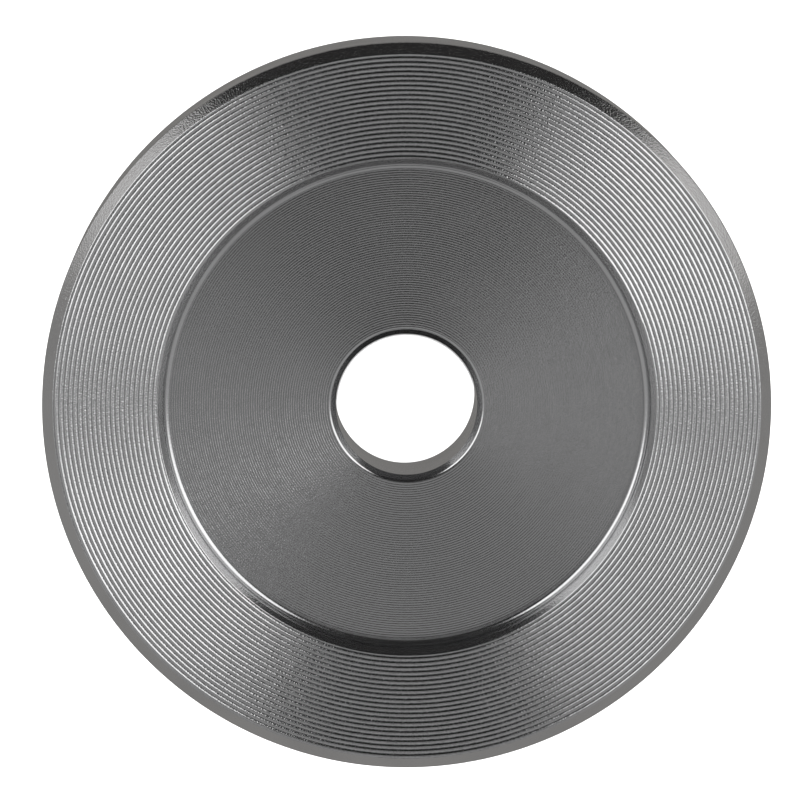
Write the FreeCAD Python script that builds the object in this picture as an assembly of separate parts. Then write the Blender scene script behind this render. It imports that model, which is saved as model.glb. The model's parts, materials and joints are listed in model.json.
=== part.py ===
"""Centre adapter for a large-hole record: one piece of aluminium bar, turned all over.

Millimetres. The origin is the centre of the flat underside, +Z points up along the bore towards the dished face.
Every surface is round about Z, so the piece is one half section, revolved.
"""

import FreeCAD, Part
import math
import os

# What the adapter fits: the record's large centre hole outside, the turntable's spindle inside.
RECORD_HOLE_DIAMETER = 38.2
RECORD_CLEARANCE = 0.1        # radial, rim to record
SPINDLE_DIAMETER = 7.2
SPINDLE_CLEARANCE = 0.1       # radial, bore to spindle

# Overall height and the bevels on the outer rim.
HEIGHT = 8.0
RIM_BEVEL = 0.62
BASE_BEVEL = 0.5

# The dish in the top face: a straight wall, a bevelled lip above it and a round corner at its foot.
DISH_DIAMETER = 25.44
DISH_DEPTH = 1.6
DISH_LIP_BEVEL = 0.3
DISH_CORNER_RADIUS = 0.34

# Bevels at the two mouths of the bore.
BORE_TOP_BEVEL = 0.31
BORE_BASE_BEVEL = 0.31

# The coarse facing cut between the lip and the rim: round-bottomed grooves that meet in sharp crests.
GROOVE_FEED = 0.245           # wanted crest-to-crest distance
TOOL_NOSE_RADIUS = 0.2        # radius of each groove's bottom

# Radii and heights that follow from the sizes above.
RIM_RADIUS = RECORD_HOLE_DIAMETER / 2 - RECORD_CLEARANCE
BORE_RADIUS = SPINDLE_DIAMETER / 2 + SPINDLE_CLEARANCE
DISH_RADIUS = DISH_DIAMETER / 2
LIP_RADIUS = DISH_RADIUS + DISH_LIP_BEVEL
CREST_RADIUS = RIM_RADIUS - RIM_BEVEL
FLOOR_HEIGHT = HEIGHT - DISH_DEPTH
GROOVE_COUNT = max(1, round((CREST_RADIUS - LIP_RADIUS) / GROOVE_FEED))
GROOVE_PITCH = (CREST_RADIUS - LIP_RADIUS) / GROOVE_COUNT


def at(radius, height):
    """A point of the half section, which lies in the XZ plane."""
    return FreeCAD.Vector(radius, 0, height)


def line(start, end):
    return Part.LineSegment(start, end).toShape()


def chain(points):
    """Straight edges from each point to the next."""
    return [line(start, end) for start, end in zip(points, points[1:])]


def underside_and_rim():
    """From the bore's lower mouth, out across the flat underside and up the rim to its bevelled top edge."""
    return chain([
        at(BORE_RADIUS, BORE_BASE_BEVEL),
        at(BORE_RADIUS + BORE_BASE_BEVEL, 0),
        at(RIM_RADIUS - BASE_BEVEL, 0),
        at(RIM_RADIUS, BASE_BEVEL),
        at(RIM_RADIUS, HEIGHT - RIM_BEVEL),
        at(CREST_RADIUS, HEIGHT),
    ])


def groove(outer_radius):
    """One round-bottomed groove, from the crest at outer_radius to the next crest inwards."""
    inner_radius = outer_radius - GROOVE_PITCH
    depth = TOOL_NOSE_RADIUS - math.sqrt(TOOL_NOSE_RADIUS ** 2 - (GROOVE_PITCH / 2) ** 2)
    bottom = at((outer_radius + inner_radius) / 2, HEIGHT - depth)
    return Part.Arc(at(outer_radius, HEIGHT), bottom, at(inner_radius, HEIGHT)).toShape()


def grooved_face():
    """The coarse facing cut, from the rim's bevel in to the dish's lip."""
    return [groove(CREST_RADIUS - i * GROOVE_PITCH) for i in range(GROOVE_COUNT)]


def dish():
    """Down the lip and the wall, round the corner and across the floor to the bore's upper mouth."""
    corner_top = at(DISH_RADIUS, FLOOR_HEIGHT + DISH_CORNER_RADIUS)
    corner_foot = at(DISH_RADIUS - DISH_CORNER_RADIUS, FLOOR_HEIGHT)
    in_corner = DISH_CORNER_RADIUS * (1 - math.sqrt(0.5))
    corner_middle = at(DISH_RADIUS - in_corner, FLOOR_HEIGHT + in_corner)
    lip_and_wall = chain([at(LIP_RADIUS, HEIGHT), at(DISH_RADIUS, HEIGHT - DISH_LIP_BEVEL), corner_top])
    floor = line(corner_foot, at(BORE_RADIUS + BORE_TOP_BEVEL, FLOOR_HEIGHT))
    return lip_and_wall + [Part.Arc(corner_top, corner_middle, corner_foot).toShape(), floor]


def bore():
    """Down the upper mouth's bevel and the bore's wall, back to the start."""
    return chain([
        at(BORE_RADIUS + BORE_TOP_BEVEL, FLOOR_HEIGHT),
        at(BORE_RADIUS, FLOOR_HEIGHT - BORE_TOP_BEVEL),
        at(BORE_RADIUS, BORE_BASE_BEVEL),
    ])


def puck():
    """The whole adapter: its half section turned once about Z."""
    outline = Part.Wire(underside_and_rim() + grooved_face() + dish() + bore())
    return Part.Face(outline).revolve(at(0, 0), FreeCAD.Vector(0, 0, 1), 360)


def main():
    solid = puck()
    os.makedirs("parts", exist_ok=True)
    solid.exportStep("parts/puck.step")
    print(f"puck: {solid.ShapeType}, valid {solid.isValid()}, {solid.Volume:.1f} mm3, {GROOVE_COUNT} grooves")


main()
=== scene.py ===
"""A turned aluminium record centre adapter on a pale floor: its mesh and finishes, the studio and the camera."""

import json
import math

import bmesh
import bpy
from mathutils import Matrix, Vector


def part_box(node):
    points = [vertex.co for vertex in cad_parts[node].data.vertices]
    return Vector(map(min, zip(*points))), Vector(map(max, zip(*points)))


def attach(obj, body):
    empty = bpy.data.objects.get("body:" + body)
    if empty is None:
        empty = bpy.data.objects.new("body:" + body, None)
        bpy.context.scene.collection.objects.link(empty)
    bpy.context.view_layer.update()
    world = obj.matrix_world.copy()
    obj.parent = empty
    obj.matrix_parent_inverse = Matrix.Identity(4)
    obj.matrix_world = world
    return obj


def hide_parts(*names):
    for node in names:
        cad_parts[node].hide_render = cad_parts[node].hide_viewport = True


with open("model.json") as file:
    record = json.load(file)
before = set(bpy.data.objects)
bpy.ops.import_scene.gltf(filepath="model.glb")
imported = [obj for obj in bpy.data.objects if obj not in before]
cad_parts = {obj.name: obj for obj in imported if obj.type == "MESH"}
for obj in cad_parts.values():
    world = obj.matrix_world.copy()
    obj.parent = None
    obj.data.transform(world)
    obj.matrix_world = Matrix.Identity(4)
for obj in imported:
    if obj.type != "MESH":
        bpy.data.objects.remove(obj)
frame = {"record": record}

bl_info = {
    "name": "Record Centre Adapter",
    "version": (1, 0, 0),
    "blender": (4, 5, 0),
    "location": "3D View > Sidebar > Adapter",
    "description": "Builds a turned record centre adapter, its finishes and its studio",
    "category": "Add Mesh",
}

MM = 0.001
NODE = "puck"
CAD_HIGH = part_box(NODE)[1]
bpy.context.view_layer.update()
MOUNTS = {m["name"]: m for m in frame["record"]["mounts"]}


# ---------------------------------------------------------------- settings

class PuckSizes(bpy.types.PropertyGroup):
    rim_radius: bpy.props.FloatProperty(
        name="Rim radius", description="Radius of the plain side that enters the record's hole",
        default=CAD_HIGH.x, unit="LENGTH", precision=5)
    height: bpy.props.FloatProperty(
        name="Height", description="From the underside to the crests of the grooved face",
        default=CAD_HIGH.z, unit="LENGTH", precision=5)
    rim_bevel: bpy.props.FloatProperty(
        name="Rim bevel", description="Width of the bevel at the rim's top edge",
        default=0.62 * MM, unit="LENGTH", precision=5)
    base_bevel: bpy.props.FloatProperty(
        name="Base bevel", description="Width of the bevel at the rim's bottom edge",
        default=0.5 * MM, unit="LENGTH", precision=5)
    bore_radius: bpy.props.FloatProperty(
        name="Bore radius", description="Radius of the hole for the spindle",
        default=MOUNTS["spindle_bore"]["dims"]["r_mm"] * MM, unit="LENGTH", precision=5)
    bore_bevel: bpy.props.FloatProperty(
        name="Bore bevel", description="Width of the bevels at the bore's two mouths",
        default=0.31 * MM, unit="LENGTH", precision=5)
    dish_radius: bpy.props.FloatProperty(
        name="Dish radius", description="Radius of the dish's straight wall",
        default=12.72 * MM, unit="LENGTH", precision=5)
    dish_depth: bpy.props.FloatProperty(
        name="Dish depth", description="From the crests of the grooved face down to the dish's floor",
        default=1.6 * MM, unit="LENGTH", precision=5)
    lip_bevel: bpy.props.FloatProperty(
        name="Lip bevel", description="Width of the bevel above the dish's wall",
        default=0.30 * MM, unit="LENGTH", precision=5)
    corner_radius: bpy.props.FloatProperty(
        name="Corner radius", description="Radius of the round corner at the foot of the dish's wall",
        default=0.34 * MM, unit="LENGTH", precision=5)
    edge_break: bpy.props.FloatProperty(
        name="Edge break", description="Radius of the small rounding on every edge",
        default=0.03 * MM, unit="LENGTH", precision=5)
    worn_edge: bpy.props.FloatProperty(
        name="Worn edge", description="Radius of the rounding on the outer edges of the rim's and the bore's bevels",
        default=0.2 * MM, unit="LENGTH", precision=5)
    groove_turns: bpy.props.IntProperty(
        name="Groove turns", description="Turns of the spiral groove between the lip and the rim", default=22)
    groove_nose: bpy.props.FloatProperty(
        name="Groove nose", description="Radius of the tool that cut the groove",
        default=0.2 * MM, unit="LENGTH", precision=5)
    groove_start: bpy.props.FloatProperty(
        name="Groove start", description="Angle at which the first crest leaves the lip",
        default=math.radians(38), subtype="ANGLE", unit="ROTATION")
    segments: bpy.props.IntProperty(
        name="Segments", description="Steps round the puck", default=320)


class PuckFinish(bpy.types.PropertyGroup):
    metal: bpy.props.FloatVectorProperty(
        name="Metal", description="Colour of the clean metal", subtype="COLOR", default=(0.60, 0.60, 0.605))
    tarnish: bpy.props.FloatVectorProperty(
        name="Tarnish", description="Colour of the duller patches", subtype="COLOR", default=(0.53, 0.53, 0.535))
    groove_roughness: bpy.props.FloatProperty(
        name="Groove roughness", description="Roughness of the grooved face", default=0.18, subtype="FACTOR")
    faced_roughness: bpy.props.FloatProperty(
        name="Faced roughness", description="Roughness of the finely faced floor and underside",
        default=0.22, subtype="FACTOR")
    faced_shade: bpy.props.FloatProperty(
        name="Faced shade", description="Brightness of the faced floor and underside beside the other metal",
        default=0.89, subtype="FACTOR")
    side_roughness: bpy.props.FloatProperty(
        name="Side roughness", description="Roughness of the side, bevels and bore", default=0.17, subtype="FACTOR")
    mark_pitch: bpy.props.FloatProperty(
        name="Mark pitch", description="Distance between the fine facing marks",
        default=0.122 * MM, unit="LENGTH", precision=6)


class StudioSettings(bpy.types.PropertyGroup):
    floor: bpy.props.FloatVectorProperty(
        name="Floor", description="Colour of the floor", subtype="COLOR", default=(0.86, 0.86, 0.86))
    room: bpy.props.FloatProperty(
        name="Room", description="Brightness of the room over the puck", default=0.43)
    ground: bpy.props.FloatProperty(
        name="Ground", description="Brightness of the ground as the metal reflects it", default=0.34)
    boxes: bpy.props.FloatProperty(
        name="Soft boxes", description="Brightness of the two soft boxes", default=1.85)
    gap: bpy.props.FloatProperty(
        name="Gap", description="Brightness of the dark gap between the soft boxes", default=0.028)
    clearance: bpy.props.FloatProperty(
        name="Clearance", description="How far the floor lies under the puck, so that their faces don't coincide",
        default=0.02 * MM, unit="LENGTH", precision=6)
    sun: bpy.props.FloatProperty(
        name="Sun", description="Strength of the overhead lamp that lights the floor", default=5.0)
    sun_angle: bpy.props.FloatProperty(
        name="Sun angle", description="Angular width of the overhead lamp",
        default=math.radians(1.5), subtype="ANGLE", unit="ROTATION")


# ---------------------------------------------------------------- shader kit

class Socket:
    """A number in a node tree: arithmetic on it adds Math nodes."""

    def __init__(self, kit, link):
        self.kit = kit
        self.link = link

    def _with(self, operation, *others):
        return self.kit.number(operation, self, *others)

    def __add__(self, other):
        return self._with("ADD", other)

    __radd__ = __add__

    def __sub__(self, other):
        return self._with("SUBTRACT", other)

    def __rsub__(self, other):
        return self.kit.number("SUBTRACT", other, self)

    def __mul__(self, other):
        return self._with("MULTIPLY", other)

    __rmul__ = __mul__

    def __truediv__(self, other):
        return self._with("DIVIDE", other)

    def __neg__(self):
        return self._with("MULTIPLY", -1.0)


class Kit:
    """Adds nodes to one tree."""

    def __init__(self, tree):
        self.tree = tree
        tree.nodes.clear()

    def node(self, kind, settings=None, **sockets):
        """A node: its settings are set first, then its sockets, by name with _ for a space or by number as s0."""
        made = self.tree.nodes.new(kind)
        for name, value in (settings or {}).items():
            setattr(made, name, value)
        for name, value in sockets.items():
            key = int(name[1:]) if name[0] == "s" and name[1:].isdigit() else name.replace("_", " ")
            self.feed(made.inputs[key], value)
        return made

    def feed(self, target, value):
        if isinstance(value, Socket):
            value = value.link
        if isinstance(value, bpy.types.NodeSocket):
            self.tree.links.new(value, target)
        else:
            target.default_value = value

    def number(self, operation, *values):
        sockets = {f"s{i}": value for i, value in enumerate(values)}
        return Socket(self, self.node("ShaderNodeMath", {"operation": operation}, **sockets).outputs[0])

    def smooth(self, value, low, high):
        """0 below low, 1 above high, eased between."""
        made = self.node("ShaderNodeMapRange", {"interpolation_type": "SMOOTHSTEP"},
                         Value=value, From_Min=low, From_Max=high)
        return Socket(self, made.outputs[0])

    def noise(self, vector, scale, detail=2.0, roughness=0.5):
        """Soft noise from 0 to 1."""
        made = self.node("ShaderNodeTexNoise", Vector=vector, Scale=scale, Detail=detail, Roughness=roughness)
        return Socket(self, made.outputs[0])

    def colour(self, amount, first, second):
        made = self.node("ShaderNodeMix", {"data_type": "RGBA"}, Factor=amount, s6=first, s7=second)
        return made.outputs[2]


def rgba(colour):
    return (colour[0], colour[1], colour[2], 1.0)


# ---------------------------------------------------------------- finishes

# Noise scales, per millimetre
PATCHES, SPECKS, FROST = 0.22, 9.0, 11.0
# The noise levels between which a patch grows dull
PATCH_LEVELS = (0.35, 0.7)
# How much patches, streaks and specks each tarnish the metal, and how far patches and specks change its roughness
PATCH_TONE, STREAK_TONE, SPECK_TONE = 0.5, 0.3, 0.2
PATCH_SPREAD, SPECK_SPREAD = 0.04, 0.12
# Streaks across and along the cut, in millimetres, and the radius at which they have that length
TONE_STREAKS, GROOVED_STREAKS, FACED_STREAKS, SIDE_STREAKS = (0.06, 6.0), (0.05, 1.5), (0.05, 2.5), (0.06, 8.0)
STREAK_RADIUS = 14.0
# Depths of the reliefs, in millimetres
GRAIN_GROOVED, GRAIN_FACED, GRAIN_UNDER, GRAIN_SIDE = 0.011, 0.0055, 0.0015, 0.003
FROST_LIP, FROST_RIM = 0.005, 0.009
STREAK_GROOVED, STREAK_FACED, STREAK_SIDE = 0.001, 0.001, 0.0012
MARK_DEPTH = 0.0064
# Share of a facing mark that slopes outwards
MARK_LEAN = 0.7
# Heights and radii between which one relief gives way to the next, in millimetres
UNDER_TO_UPPER = (1.0, 2.0)
BORE_TO_LIP, LIP_TO_RIM = (5.0, 12.0), (14.0, 18.0)
BEVEL_FADE = 0.2


class Turned:
    """Where a point of the puck is, as sockets: height and radius in millimetres, turn in turns."""

    def __init__(self, kit):
        self.kit = kit
        place = kit.node("ShaderNodeTexCoord").outputs["Object"]
        self.place = kit.node("ShaderNodeVectorMath", {"operation": "SCALE"}, s0=place, Scale=1 / MM).outputs[0]
        split = kit.node("ShaderNodeSeparateXYZ", s0=self.place)
        x, y, self.height = (Socket(kit, out) for out in split.outputs)
        self.radius = kit.number("SQRT", x * x + y * y)
        self.turn = kit.number("ARCTAN2", y, x) / math.tau
        self.unit = kit.node("ShaderNodeCombineXYZ", X=x / self.radius, Y=y / self.radius).outputs[0]

    def streaks(self, across, along):
        """Noise drawn out round the axis: features of these lengths, in millimetres, across and along the cut."""
        kit = self.kit
        around = kit.node("ShaderNodeVectorMath", {"operation": "SCALE"}, s0=self.unit, Scale=STREAK_RADIUS / along)
        moved = kit.node("ShaderNodeCombineXYZ", Z=(self.radius + self.height) / across)
        both = kit.node("ShaderNodeVectorMath", {"operation": "ADD"}, s0=around.outputs[0], s1=moved.outputs[0])
        return kit.noise(both.outputs[0], scale=1.0, detail=1.0)


def finish_material(name, finish, roughness, height, shade=1.0):
    """Bare turned metal: height(kit, at) is its relief in millimetres and shade darkens it."""
    material = bpy.data.materials.new(name)
    material.use_nodes = True
    kit = Kit(material.node_tree)
    at = Turned(kit)
    dull = kit.smooth(kit.noise(at.place, PATCHES, detail=3.0), *PATCH_LEVELS)
    streak = at.streaks(*TONE_STREAKS)
    grain = kit.noise(at.place, SPECKS, detail=2.0, roughness=0.6)
    tone = dull * PATCH_TONE + streak * STREAK_TONE + grain * SPECK_TONE
    bump = kit.node("ShaderNodeBump", Strength=1.0, Distance=MM, Height=height(kit, at))
    clean, tarnished = (rgba([shade * c for c in colour]) for colour in (finish.metal, finish.tarnish))
    shader = kit.node(
        "ShaderNodeBsdfPrincipled",
        Metallic=1.0,
        Base_Color=kit.colour(tone, clean, tarnished),
        Roughness=roughness + (grain - 0.5) * SPECK_SPREAD + (dull - 0.5) * PATCH_SPREAD,
        Normal=bump.outputs[0],
    )
    kit.node("ShaderNodeOutputMaterial", Surface=shader.outputs[0])
    return material


def satin(kit, at, depth):
    """The fine frosted grain all over the metal."""
    return kit.noise(at.place, FROST, detail=1.5, roughness=0.6) * depth


def grooved_relief(kit, at):
    """The frosted grain at its deepest, with faint streaks along the cut."""
    return satin(kit, at, GRAIN_GROOVED) + at.streaks(*GROOVED_STREAKS) * STREAK_GROOVED


def side_relief(foot):
    """Fine turned lines; from this height up the lip is frosted too, and the rim's bevel most."""
    def relief(kit, at):
        bevels = kit.smooth(at.height, foot - BEVEL_FADE, foot)
        frost = kit.smooth(at.radius, *BORE_TO_LIP) * FROST_LIP + kit.smooth(at.radius, *LIP_TO_RIM) * FROST_RIM
        return satin(kit, at, GRAIN_SIDE + bevels * frost) + at.streaks(*SIDE_STREAKS) * STREAK_SIDE
    return relief


def faced_relief(pitch):
    """The dish's fine facing marks: a leaning ridge every turn under the grain. The underside is plain satin."""
    def relief(kit, at):
        step = kit.number("FRACT", at.radius / (pitch / MM) - at.turn)
        rise = kit.number("MINIMUM", step / MARK_LEAN, (1.0 - step) / (1.0 - MARK_LEAN))
        upper = kit.smooth(at.height, *UNDER_TO_UPPER)
        grain = satin(kit, at, GRAIN_UNDER + upper * (GRAIN_FACED - GRAIN_UNDER))
        return -rise * upper * MARK_DEPTH + grain + at.streaks(*FACED_STREAKS) * STREAK_FACED
    return relief


# ---------------------------------------------------------------- the puck's mesh

GROOVED, FACED, SIDE = range(3)
# Rows of one groove, as shares of the way from crest to crest: closest beside the crests
GROOVE_STEPS = (0.0, 0.07, 0.2, 0.35, 0.5, 0.65, 0.8, 0.93)
# Rows closer to an edge than this share of a row's width are drawn onto it
MERGE = 0.3
# Turns added at each end of the spiral before it is trimmed
SPARE_TURNS = 3
# How steeply the normals at the grooved face's two edges rise: between the face and the bevel
EDGE_RISE = 2.4
# Arcs smaller than this take fewer steps
SMALL_ARC = 0.1 * MM
SMALL_ARC_STEPS, ARC_STEPS = 3, 8
# Rounds that settle where the groove meets a bevel
SETTLE_ROUNDS = 6


class Outline:
    """The puck's half section from the rim's top edge round to the lip, as corners (radius, height)."""

    def __init__(self, start, edge):
        self.points = [Vector(start)]
        self.finishes = []
        self.edges = []
        self.edge = edge

    def to(self, r, z, finish, edge=None):
        """A straight cut to here in this finish; edge is the rounding at its end."""
        self.points.append(Vector((r, z)))
        self.finishes.append(finish)
        self.edges.append(self.edge if edge is None else edge)

    def rings(self):
        """Every corner softened to a small arc: a list of (r, z, normal, finish of the strip that follows)."""
        made = []
        ways = [(b - a).normalized() for a, b in zip(self.points, self.points[1:])]
        for i in range(1, len(self.points) - 1):
            before, after = ways[i - 1], ways[i]
            bend = math.atan2(before.x * after.y - before.y * after.x, before.dot(after))
            side = -math.copysign(1.0, bend)
            radius = self.edges[i - 1]
            normal = Vector((-before.y, before.x))
            start = self.points[i] - before * radius * math.tan(abs(bend) / 2)
            centre = start - side * radius * normal
            steps = SMALL_ARC_STEPS if radius < SMALL_ARC else ARC_STEPS
            for k in range(steps + 1):
                turned = Matrix.Rotation(bend * k / steps, 2) @ normal
                spot = centre + side * radius * turned
                finish = max(self.finishes[i - 1:i + 1]) if k < steps else self.finishes[i]
                made.append((spot.x, spot.y, turned, finish))
        return made


def puck_outline(s):
    """The half section from the rim's top edge down, under and up through the bore and the dish to the lip."""
    rim, top, floor = s.rim_radius, s.height, s.height - s.dish_depth
    out = Outline((rim - s.rim_bevel, top), s.edge_break)
    out.to(rim, top - s.rim_bevel, SIDE, s.worn_edge)
    out.to(rim, s.base_bevel, SIDE)
    out.to(rim - s.base_bevel, 0.0, SIDE)
    out.to(s.bore_radius + s.bore_bevel, 0.0, FACED)
    out.to(s.bore_radius, s.bore_bevel, SIDE)
    out.to(s.bore_radius, floor - s.bore_bevel, SIDE)
    out.to(s.bore_radius + s.bore_bevel, floor, SIDE, s.worn_edge)
    out.to(s.dish_radius, floor, FACED, s.corner_radius)
    out.to(s.dish_radius, top - s.lip_bevel, SIDE)
    out.to(s.dish_radius + s.lip_bevel, top, SIDE)
    return out


class Groove:
    """The spiral groove of the top face: round-bottomed, with a crest every turn."""

    def __init__(self, s):
        self.top = s.height
        self.inner = s.dish_radius + s.lip_bevel
        self.outer = s.rim_radius - s.rim_bevel
        self.pitch = (self.outer - self.inner) / s.groove_turns
        self.nose = s.groove_nose
        self.start = s.groove_start
        self.deep = math.sqrt(self.nose ** 2 - (self.pitch / 2) ** 2)

    def crest_shift(self, angle):
        """How far the spiral has moved outwards at this angle, in turns."""
        return (angle - self.start) / math.tau

    def depth(self, step):
        """Depth below the crests, step of the way from one crest to the next."""
        across = (step % 1.0 - 0.5) * self.pitch
        return math.sqrt(self.nose ** 2 - across ** 2) - self.deep

    def normal(self, step):
        """(outward, upward) of the surface's normal."""
        across = (step % 1.0 - 0.5) * self.pitch
        if step % 1.0 == 0.0:
            return Vector((0.0, 1.0))
        return Vector((-across / self.nose, math.sqrt(1 - (across / self.nose) ** 2)))

    def edge(self, angle, radius, way):
        """Where the groove runs out in a 45 degree bevel that leaves the face at radius: way is +1 outwards."""
        sunk = 0.0
        for _ in range(SETTLE_ROUNDS):
            step = (radius + way * sunk - self.inner) / self.pitch - self.crest_shift(angle)
            sunk = self.depth(step)
        return radius + way * sunk, self.top - sunk


class Lathe:
    """Collects the vertices, normals and faces of a round piece."""

    def __init__(self, segments):
        self.segments = segments
        self.spots = []
        self.normals = []
        self.faces = []
        self.finishes = []

    def vertex(self, j, r, z, normal):
        angle = math.tau * j / self.segments
        c, s = math.cos(angle), math.sin(angle)
        self.spots.append((r * c, r * s, z))
        self.normals.append((normal.x * c, normal.x * s, normal.y))
        return len(self.spots) - 1

    def face(self, corners, finish):
        kept = [v for i, v in enumerate(corners) if v != corners[i - 1]]
        if len(kept) > 2:
            self.faces.append(kept)
            self.finishes.append(finish)


def add_rings(lathe, rings, rim_edge, lip_edge):
    """The strips between the section's rings, from the rim's top edge round to the lip."""
    n = lathe.segments
    rows = [rim_edge]
    rows += [[lathe.vertex(j, r, z, normal) for j in range(n)] for r, z, normal, _ in rings]
    rows.append(lip_edge)
    finishes = [SIDE] + [finish for *_, finish in rings]
    for first, second, finish in zip(rows, rows[1:], finishes):
        for j in range(n):
            k = (j + 1) % n
            lathe.face([first[j], second[j], second[k], first[k]], finish)


def add_groove(lathe, groove, rim_edge, lip_edge, rim_radii, lip_radii):
    """The grooved face: rows that follow the spiral, trimmed at the lip and at the rim."""
    n, steps = lathe.segments, len(GROOVE_STEPS)
    gap = MERGE * groove.pitch / steps
    made = {}

    def place(row, j):
        if j == n:
            return place(row + steps, 0)
        if (row, j) not in made:
            turn, i = divmod(row, steps)
            angle = math.tau * j / n
            r = groove.inner + groove.pitch * (turn + GROOVE_STEPS[i] + groove.crest_shift(angle))
            if r <= lip_radii[j] + gap:
                made[row, j] = lip_edge[j]
            elif r >= rim_radii[j] - gap:
                made[row, j] = rim_edge[j]
            else:
                step = GROOVE_STEPS[i]
                made[row, j] = lathe.vertex(j, r, groove.top - groove.depth(step), groove.normal(step))
        return made[row, j]

    turns = round((groove.outer - groove.inner) / groove.pitch)
    for j in range(n):
        for row in range(-SPARE_TURNS * steps, (turns + SPARE_TURNS) * steps):
            lathe.face([place(row, j), place(row + 1, j), place(row + 1, j + 1), place(row, j + 1)], GROOVED)


def puck_mesh(s):
    """The whole puck: the strips of the half section, and the grooved face that closes it."""
    lathe = Lathe(s.segments)
    groove = Groove(s)
    angles = [math.tau * j / s.segments for j in range(s.segments)]
    rims = [groove.edge(a, groove.outer, 1) for a in angles]
    lips = [groove.edge(a, groove.inner, -1) for a in angles]
    rim_normal = Vector((1, EDGE_RISE)).normalized()
    lip_normal = Vector((-1, EDGE_RISE)).normalized()
    rim_edge = [lathe.vertex(j, r, z, rim_normal) for j, (r, z) in enumerate(rims)]
    lip_edge = [lathe.vertex(j, r, z, lip_normal) for j, (r, z) in enumerate(lips)]
    bevel = Vector((1, 1)).normalized()
    inset = 2 * s.edge_break
    first = (groove.outer + inset, groove.top - inset, bevel, SIDE)
    last = (groove.inner - inset, groove.top - inset, Vector((-bevel.x, bevel.y)), SIDE)
    add_rings(lathe, [first, *puck_outline(s).rings(), last], rim_edge, lip_edge)
    add_groove(lathe, groove, rim_edge, lip_edge, [r for r, _ in rims], [r for r, _ in lips])
    mesh = bpy.data.meshes.new("turned_puck")
    mesh.from_pydata(lathe.spots, [], lathe.faces)
    mesh.polygons.foreach_set("material_index", lathe.finishes)
    mesh.polygons.foreach_set("use_smooth", [True] * len(mesh.polygons))
    mesh.normals_split_custom_set_from_vertices(lathe.normals)
    mesh.validate()
    return mesh


# ---------------------------------------------------------------- operators

class ADAPTER_OT_puck(bpy.types.Operator):
    """Build the turned puck and put it in the CAD solid's place"""
    bl_idname = "adapter.puck"
    bl_label = "Puck"

    def execute(self, context):
        sizes = context.scene.adapter_sizes
        finish = context.scene.adapter_finish
        puck = bpy.data.objects.new("turned_puck", puck_mesh(sizes))
        context.scene.collection.objects.link(puck)
        faced = faced_relief(finish.mark_pitch)
        side = side_relief((sizes.height - sizes.rim_bevel) / MM)
        for material in (
            finish_material("grooved_metal", finish, finish.groove_roughness, grooved_relief),
            finish_material("faced_metal", finish, finish.faced_roughness, faced, finish.faced_shade),
            finish_material("side_metal", finish, finish.side_roughness, side),
        ):
            puck.data.materials.append(material)
        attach(puck, "root")
        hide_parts(NODE)
        return {"FINISHED"}


# The floor, in metres: the radii of its flat part and of the sweep at its edge, and the wall's height above that
FLOOR_FLAT, FLOOR_BEND, FLOOR_WALL = 1.6, 0.6, 1.2
# The flat part's first ring, and how many rings it has, each twice as wide as the one before
FIRST_RING, FLAT_RINGS = 0.05, 5
BEND_STEP_DEGREES, FLOOR_SEGMENTS = 6, 96
FIBRE_SCALE, FIBRE_SHADE = 900.0, 0.985


def floor_mesh():
    """A wide flat floor that sweeps up into a wall all round."""
    mesh = bpy.data.meshes.new("studio_floor")
    shape = bmesh.new()
    around = FLOOR_SEGMENTS
    section = [(FIRST_RING * 2 ** k, 0.0) for k in range(FLAT_RINGS)]
    section += [(FLOOR_FLAT + FLOOR_BEND * math.sin(a), FLOOR_BEND * (1 - math.cos(a)))
                for a in (math.radians(d) for d in range(0, 91, BEND_STEP_DEGREES))]
    section.append((FLOOR_FLAT + FLOOR_BEND, FLOOR_BEND + FLOOR_WALL))
    middle = shape.verts.new((0, 0, 0))
    rows = [[shape.verts.new((r * math.cos(t), r * math.sin(t), z))
             for t in (math.tau * j / around for j in range(around))] for r, z in section]
    for j in range(around):
        shape.faces.new([middle, rows[0][j], rows[0][(j + 1) % around]])
        for first, second in zip(rows, rows[1:]):
            k = (j + 1) % around
            shape.faces.new([first[j], second[j], second[k], first[k]])
    for face in shape.faces:
        face.smooth = True
    shape.to_mesh(mesh)
    shape.free()
    return mesh


def floor_material(colour):
    """Matt paper with a trace of fibre."""
    material = bpy.data.materials.new("pale_paper")
    material.use_nodes = True
    kit = Kit(material.node_tree)
    place = kit.node("ShaderNodeTexCoord").outputs["Object"]
    fibre = kit.noise(place, FIBRE_SCALE)
    shade = kit.colour(fibre, rgba(colour), rgba([FIBRE_SHADE * c for c in colour]))
    shader = kit.node("ShaderNodeBsdfPrincipled", Base_Color=shade, Roughness=0.9)
    kit.node("ShaderNodeOutputMaterial", Surface=shader.outputs[0])
    return material


# The studio's parts by direction, in degrees: heights above the horizon, and turns away from the gap's middle.
# A pair is the span over which a part fades in or out.
HORIZON, LOW_PART, MIDDLE, SOFT_EDGE = (-2.0, 3.0), (6.0, 34.0), (-10.0, 10.0), (-3.0, 3.0)
TURN, LOW_TURN = 1.0, 2.2
GAP_HALF, GAP_LOW_EXTRA, GAP_HIGH_EXTRA = 32.0, 11.0, 57.0
GAP_WIDENS, GAP_FOOT, GAP_HEAD = (48.0, 90.0), (-16.0, -10.0), (84.0, 100.0)
BOX_END, BOX_END_LOW_LESS, BOX_END_EDGE = 90.0, 18.0, (-6.0, 6.0)
BOX_FOOT, RIGHT_BOX_HEAD, LEFT_BOX_HEAD = (-8.0, -3.0), (62.0, 80.0), (44.0, 66.0)
CORNER_START, CORNER_END, CORNER_FOOT, CORNER_HEAD = (-2.0, 4.0), (88.0, 100.0), (-1.0, 1.0), (6.0, 14.0)
STAND_START, STAND_FOOT, STAND_HEAD = (148.0, 165.0), (24.0, 32.0), (38.0, 46.0)
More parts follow.
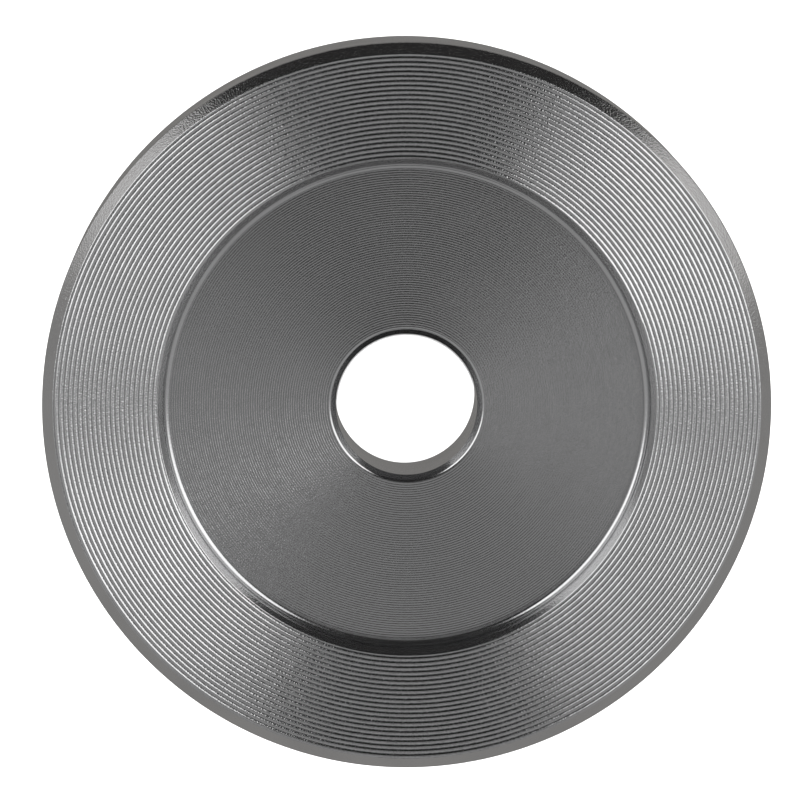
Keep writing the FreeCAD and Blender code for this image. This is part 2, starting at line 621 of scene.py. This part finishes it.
BACK_START, CEILING, GROUND_FAR = (110.0, 150.0), (63.0, 92.0), (-60.0, -10.0)
# How much darker each part is than it would otherwise be, as a share
BOX_LOW_DIM, LEFT_BOX_LOW_DIM = 0.62, 0.2
CORNER_DIM, STAND_DIM, BACK_DIM, LOW_DIM, CEILING_DIM, GROUND_DIM = 0.25, 0.7, 0.12, 0.18, 0.52, 0.34
WARM, WHITE = (1.0, 0.975, 0.945, 1.0), (1.0, 1.0, 1.0, 1.0)


def studio_world(studio):
    """What the metal mirrors: a plain room, two soft boxes to either side of a dark gap, and the ground."""
    world = bpy.data.worlds.new("studio")
    world.use_nodes = True
    kit = Kit(world.node_tree)
    way = kit.node("ShaderNodeTexCoord").outputs["Generated"]
    split = kit.node("ShaderNodeSeparateXYZ", s0=way)
    x, y, z = (Socket(kit, out) for out in split.outputs)
    degrees = 180 / math.pi

    def over(value, pair):
        return kit.smooth(value, *pair)

    def under(value, pair):
        return 1.0 - kit.smooth(value, *pair)

    rise = kit.number("ARCSINE", z) * degrees
    low = under(rise, LOW_PART)
    turned = kit.number("ARCTAN2", x, y) * degrees - low * LOW_TURN - TURN
    aside = kit.number("ABSOLUTE", turned)
    right = over(turned, MIDDLE)
    left = 1.0 - right

    gap_edge = GAP_HALF + low * GAP_LOW_EXTRA + over(rise, GAP_WIDENS) * GAP_HIGH_EXTRA
    outside = over(aside - gap_edge, SOFT_EDGE)
    gap = (1.0 - outside) * over(rise, GAP_FOOT) * under(rise, GAP_HEAD)

    box_edge = BOX_END - low * BOX_END_LOW_LESS
    head = under(rise, RIGHT_BOX_HEAD) * right + under(rise, LEFT_BOX_HEAD) * left
    box = outside * under(aside - box_edge, BOX_END_EDGE) * head * over(rise, BOX_FOOT)
    box = box * (1.0 - low * BOX_LOW_DIM) * (1.0 - low * left * LEFT_BOX_LOW_DIM)

    corner = over(aside - box_edge, CORNER_START) * under(aside, CORNER_END)
    corner = corner * under(rise, CORNER_HEAD) * over(rise, CORNER_FOOT)
    stand = over(aside, STAND_START) * over(rise, STAND_FOOT) * under(rise, STAND_HEAD)

    level = studio.room * (1.0 - over(aside, BACK_START) * BACK_DIM)
    level = level * (1.0 - low * LOW_DIM) * (1.0 - over(rise, CEILING) * CEILING_DIM)
    ground = studio.ground * (1.0 - under(rise, GROUND_FAR) * GROUND_DIM)
    above = over(rise, HORIZON)
    room = ground + above * (level - ground)
    light = room * (1.0 - gap) * (1.0 - corner * CORNER_DIM) * (1.0 - stand * STAND_DIM)
    light = light + gap * studio.gap + box * (studio.boxes - studio.room)
    tint = kit.colour(above, WARM, WHITE)
    back = kit.node("ShaderNodeBackground", Color=tint, Strength=light)
    kit.node("ShaderNodeOutputWorld", Surface=back.outputs[0])
    return world


# The camera's lean from straight above, as the level part of its way back
CAMERA_LEAN = (-0.016, 0.1)
# Where it aims, right of and above the middle of the top face, and how far off it stands, in millimetres
AIM_RIGHT, AIM_UP, CAMERA_DISTANCE = -0.372, 0.412, 343.5
CAMERA_LENS, CAMERA_SENSOR = 297.35, 36.0


def add_camera(scene):
    """Looks down on the dished face, six degrees off the axis."""
    data = bpy.data.cameras.new("camera")
    data.sensor_width = CAMERA_SENSOR
    data.lens = CAMERA_LENS
    data.clip_start, data.clip_end = 0.02, 20.0
    camera = bpy.data.objects.new("camera", data)
    scene.collection.objects.link(camera)
    middle = Vector((0, 0, CAD_HIGH.z))
    back = Vector((*CAMERA_LEAN, 0.0))
    back.z = math.sqrt(1 - back.length_squared)
    right = Vector((0, 1, 0)).cross(back).normalized()
    up = back.cross(right)
    target = middle + right * AIM_RIGHT * MM + up * AIM_UP * MM
    place = target + back * CAMERA_DISTANCE * MM
    turn = Matrix((right, up, back)).transposed().to_4x4()
    camera.matrix_world = Matrix.Translation(place) @ turn
    scene.camera = camera
    return camera


class ADAPTER_OT_studio(bpy.types.Operator):
    """Add the floor, the lights and the camera"""
    bl_idname = "adapter.studio"
    bl_label = "Studio"

    def execute(self, context):
        scene = context.scene
        studio = scene.adapter_studio
        floor = bpy.data.objects.new("studio_floor", floor_mesh())
        floor.data.materials.append(floor_material(studio.floor))
        scene.collection.objects.link(floor)
        floor.location.z = -studio.clearance
        floor.visible_glossy = False
        camera = add_camera(scene)
        lamp = bpy.data.lights.new("overhead", "SUN")
        lamp.energy = studio.sun
        lamp.angle = studio.sun_angle
        overhead = bpy.data.objects.new("overhead", lamp)
        overhead.matrix_world = camera.matrix_world
        overhead.visible_glossy = False
        scene.collection.objects.link(overhead)
        scene.world = studio_world(studio)
        scene.view_settings.view_transform = "Standard"
        return {"FINISHED"}


class ADAPTER_PT_panel(bpy.types.Panel):
    """The adapter's builders and settings"""
    bl_idname = "ADAPTER_PT_panel"
    bl_label = "Record centre adapter"
    bl_space_type = "VIEW_3D"
    bl_region_type = "UI"
    bl_category = "Adapter"

    def draw(self, context):
        for operator in OPERATORS:
            self.layout.operator(operator.bl_idname)
        for name in GROUPS:
            settings = getattr(context.scene, name)
            box = self.layout.box()
            for field in settings.bl_rna.properties:
                if field.identifier not in ("rna_type", "name"):
                    box.prop(settings, field.identifier)


OPERATORS = (ADAPTER_OT_puck, ADAPTER_OT_studio)
GROUPS = {"adapter_sizes": PuckSizes, "adapter_finish": PuckFinish, "adapter_studio": StudioSettings}
CLASSES = (*GROUPS.values(), *OPERATORS, ADAPTER_PT_panel)


def register():
    for made in CLASSES:
        bpy.utils.register_class(made)
    for name, group in GROUPS.items():
        setattr(bpy.types.Scene, name, bpy.props.PointerProperty(type=group))


def unregister():
    for name in GROUPS:
        delattr(bpy.types.Scene, name)
    for made in reversed(CLASSES):
        bpy.utils.unregister_class(made)


def main():
    register()
    bpy.ops.adapter.puck()
    bpy.ops.adapter.studio()


if __name__ == "__main__":
    main()
